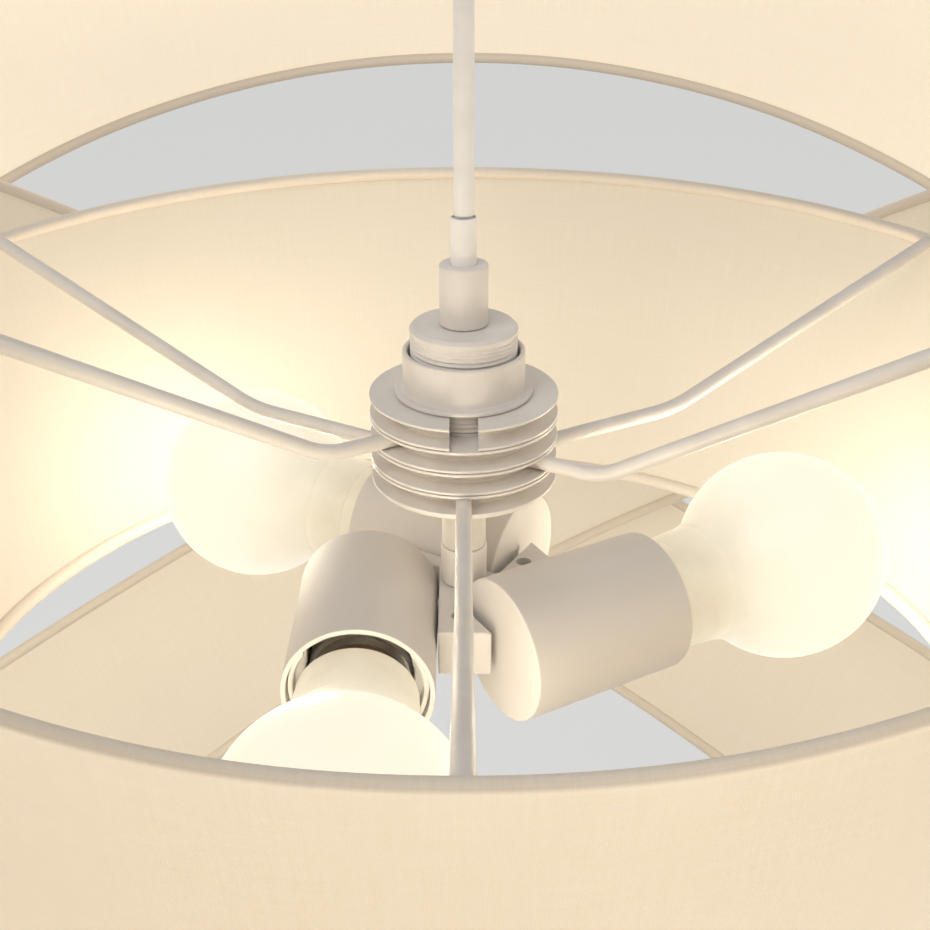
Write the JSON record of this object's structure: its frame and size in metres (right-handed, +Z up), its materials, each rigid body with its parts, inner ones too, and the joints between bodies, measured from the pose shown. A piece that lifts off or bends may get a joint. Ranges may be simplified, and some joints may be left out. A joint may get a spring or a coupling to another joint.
{
  "type": "pendant light",
  "caption": "Pendant light on a cord: a tapered fabric drum inside tilted fabric bands on wire arms, with bulbs in a pinwheel of lampholders under the hub.",
  "frame": {"origin": "on the ceiling, at the middle of the ceiling plate's upper face", "axes": "+Z up, out of the plate and into the ceiling; -Y is the side that the picture is taken from"},
  "size_m": [0.5612, 0.5583, 0.4537],
  "materials": {
    "cream_painted_metal": "satin powder coat",
    "cream_fabric": "fine plain weave, laminated, lit from inside",
    "cream_plastic": "satin moulded",
    "white_ceramic": "smooth glazed",
    "brass": "plain",
    "plated_steel": "nickel plated",
    "opal_plastic": "opal, glows warm white",
    "lead_plastic": "smooth sheath",
    "cord_plastic": "smooth sheath"
  },
  "bodies": {
    "ceiling": {"ceiling_plate": "plated_steel", "cord_clamp": "cream_plastic", "clamp_screw_left": "plated_steel", "clamp_screw_right": "plated_steel", "terminal_block": "cream_plastic", "supply_cord": "cord_plastic"},
    "canopy": {"canopy_cup": "cream_painted_metal", "canopy_bush": "cream_plastic", "canopy_grub_screw": "plated_steel"},
    "hanger": {"cord_sleeve": "cream_plastic", "cord_grip": "cream_painted_metal", "grip_screw": "plated_steel", "cord_in_grip": "cord_plastic"},
    "bulb_tip_body_front": {"bulb_tip_front": "brass"},
    "bulb_body_front": {"bulb_cap_front": "plated_steel", "bulb_globe_front": "opal_plastic"},
    "bulb_tip_body_right": {"bulb_tip_right": "brass"},
    "bulb_body_right": {"bulb_cap_right": "plated_steel", "bulb_globe_right": "opal_plastic"},
    "bulb_tip_body_left": {"bulb_tip_left": "brass"},
    "bulb_body_left": {"bulb_cap_left": "plated_steel", "bulb_globe_left": "opal_plastic"},
    "lamp": {"back_band_fabric": "cream_fabric", "back_band_lower_ring": "cream_painted_metal", "back_band_spider": "cream_painted_metal", "bracket": "cream_plastic", "bracket_plug": "cream_plastic", "contact_front": "brass", "contact_left": "brass", "contact_right": "brass", "cover_front": "cream_plastic", "cover_left": "cream_plastic", "cover_right": "cream_plastic", "drum_fabric": "cream_fabric", "drum_lower_ring": "cream_painted_metal", "drum_spider": "cream_painted_metal", "hub_collar": "cream_painted_metal", "hub_cup": "cream_painted_metal", "hub_tube": "cream_painted_metal", "lead_front": "lead_plastic", "lead_left": "lead_plastic", "lead_right": "lead_plastic", "left_band_fabric": "cream_fabric", "left_band_lower_ring": "cream_painted_metal", "left_band_spider": "cream_painted_metal", "nipple_front": "plated_steel", "nipple_left": "plated_steel", "nipple_right": "plated_steel", "right_band_fabric": "cream_fabric", "right_band_lower_ring": "cream_painted_metal", "right_band_spider": "cream_painted_metal", "socket_front": "white_ceramic", "socket_left": "white_ceramic", "socket_right": "white_ceramic", "stem_cable": "cord_plastic", "stem_coupler": "cream_painted_metal", "stem_nut": "plated_steel", "stem_tube": "cream_painted_metal", "threaded_cap": "cream_painted_metal"}
  },
  "joints": [
    {"name": "canopy_slide", "type": "slide", "parent": "ceiling", "child": "canopy", "axis": [0, 0, -1], "range_m": [0, 0.06]},
    {"name": "pendant_swing", "type": "hinge", "parent": "ceiling", "child": "hanger", "pos_m": [0, 0, -0.1483], "axis": [1, 0, 0], "range_deg": [-6, 6]},
    {"name": "pendant_turn", "type": "hinge", "parent": "hanger", "child": "lamp", "pos_m": [0, 0, -0.1483], "axis": [0, 0, 1], "range_deg": [-170, 170]},
    {"name": "bulb_front_travel", "type": "slide", "parent": "lamp", "child": "bulb_tip_body_front", "axis": [0, -1, 0], "range_m": [0, 0.01814]},
    {"name": "bulb_front_turn", "type": "hinge", "parent": "bulb_tip_body_front", "child": "bulb_body_front", "pos_m": [-0.0262, 0, -0.2563], "axis": [0, -1, 0], "range_deg": [0, 1800]},
    {"name": "bulb_right_travel", "type": "slide", "parent": "lamp", "child": "bulb_tip_body_right", "axis": [0.866, 0.5, 0], "range_m": [0, 0.01814]},
    {"name": "bulb_right_turn", "type": "hinge", "parent": "bulb_tip_body_right", "child": "bulb_body_right", "pos_m": [0.0131, -0.02269, -0.2563], "axis": [0.866, 0.5, 0], "range_deg": [0, 1800]},
    {"name": "bulb_left_travel", "type": "slide", "parent": "lamp", "child": "bulb_tip_body_left", "axis": [-0.866, 0.5, 0], "range_m": [0, 0.01814]},
    {"name": "bulb_left_turn", "type": "hinge", "parent": "bulb_tip_body_left", "child": "bulb_body_left", "pos_m": [0.0131, 0.02269, -0.2563], "axis": [-0.866, 0.5, 0], "range_deg": [0, 1800]}
  ],
  "couplings": [
    {"joint": "bulb_front_turn", "follows": "bulb_front_travel", "rad_per_m": 1730.9},
    {"joint": "bulb_right_turn", "follows": "bulb_right_travel", "rad_per_m": 1730.9},
    {"joint": "bulb_left_turn", "follows": "bulb_left_travel", "rad_per_m": 1730.9}
  ]
}
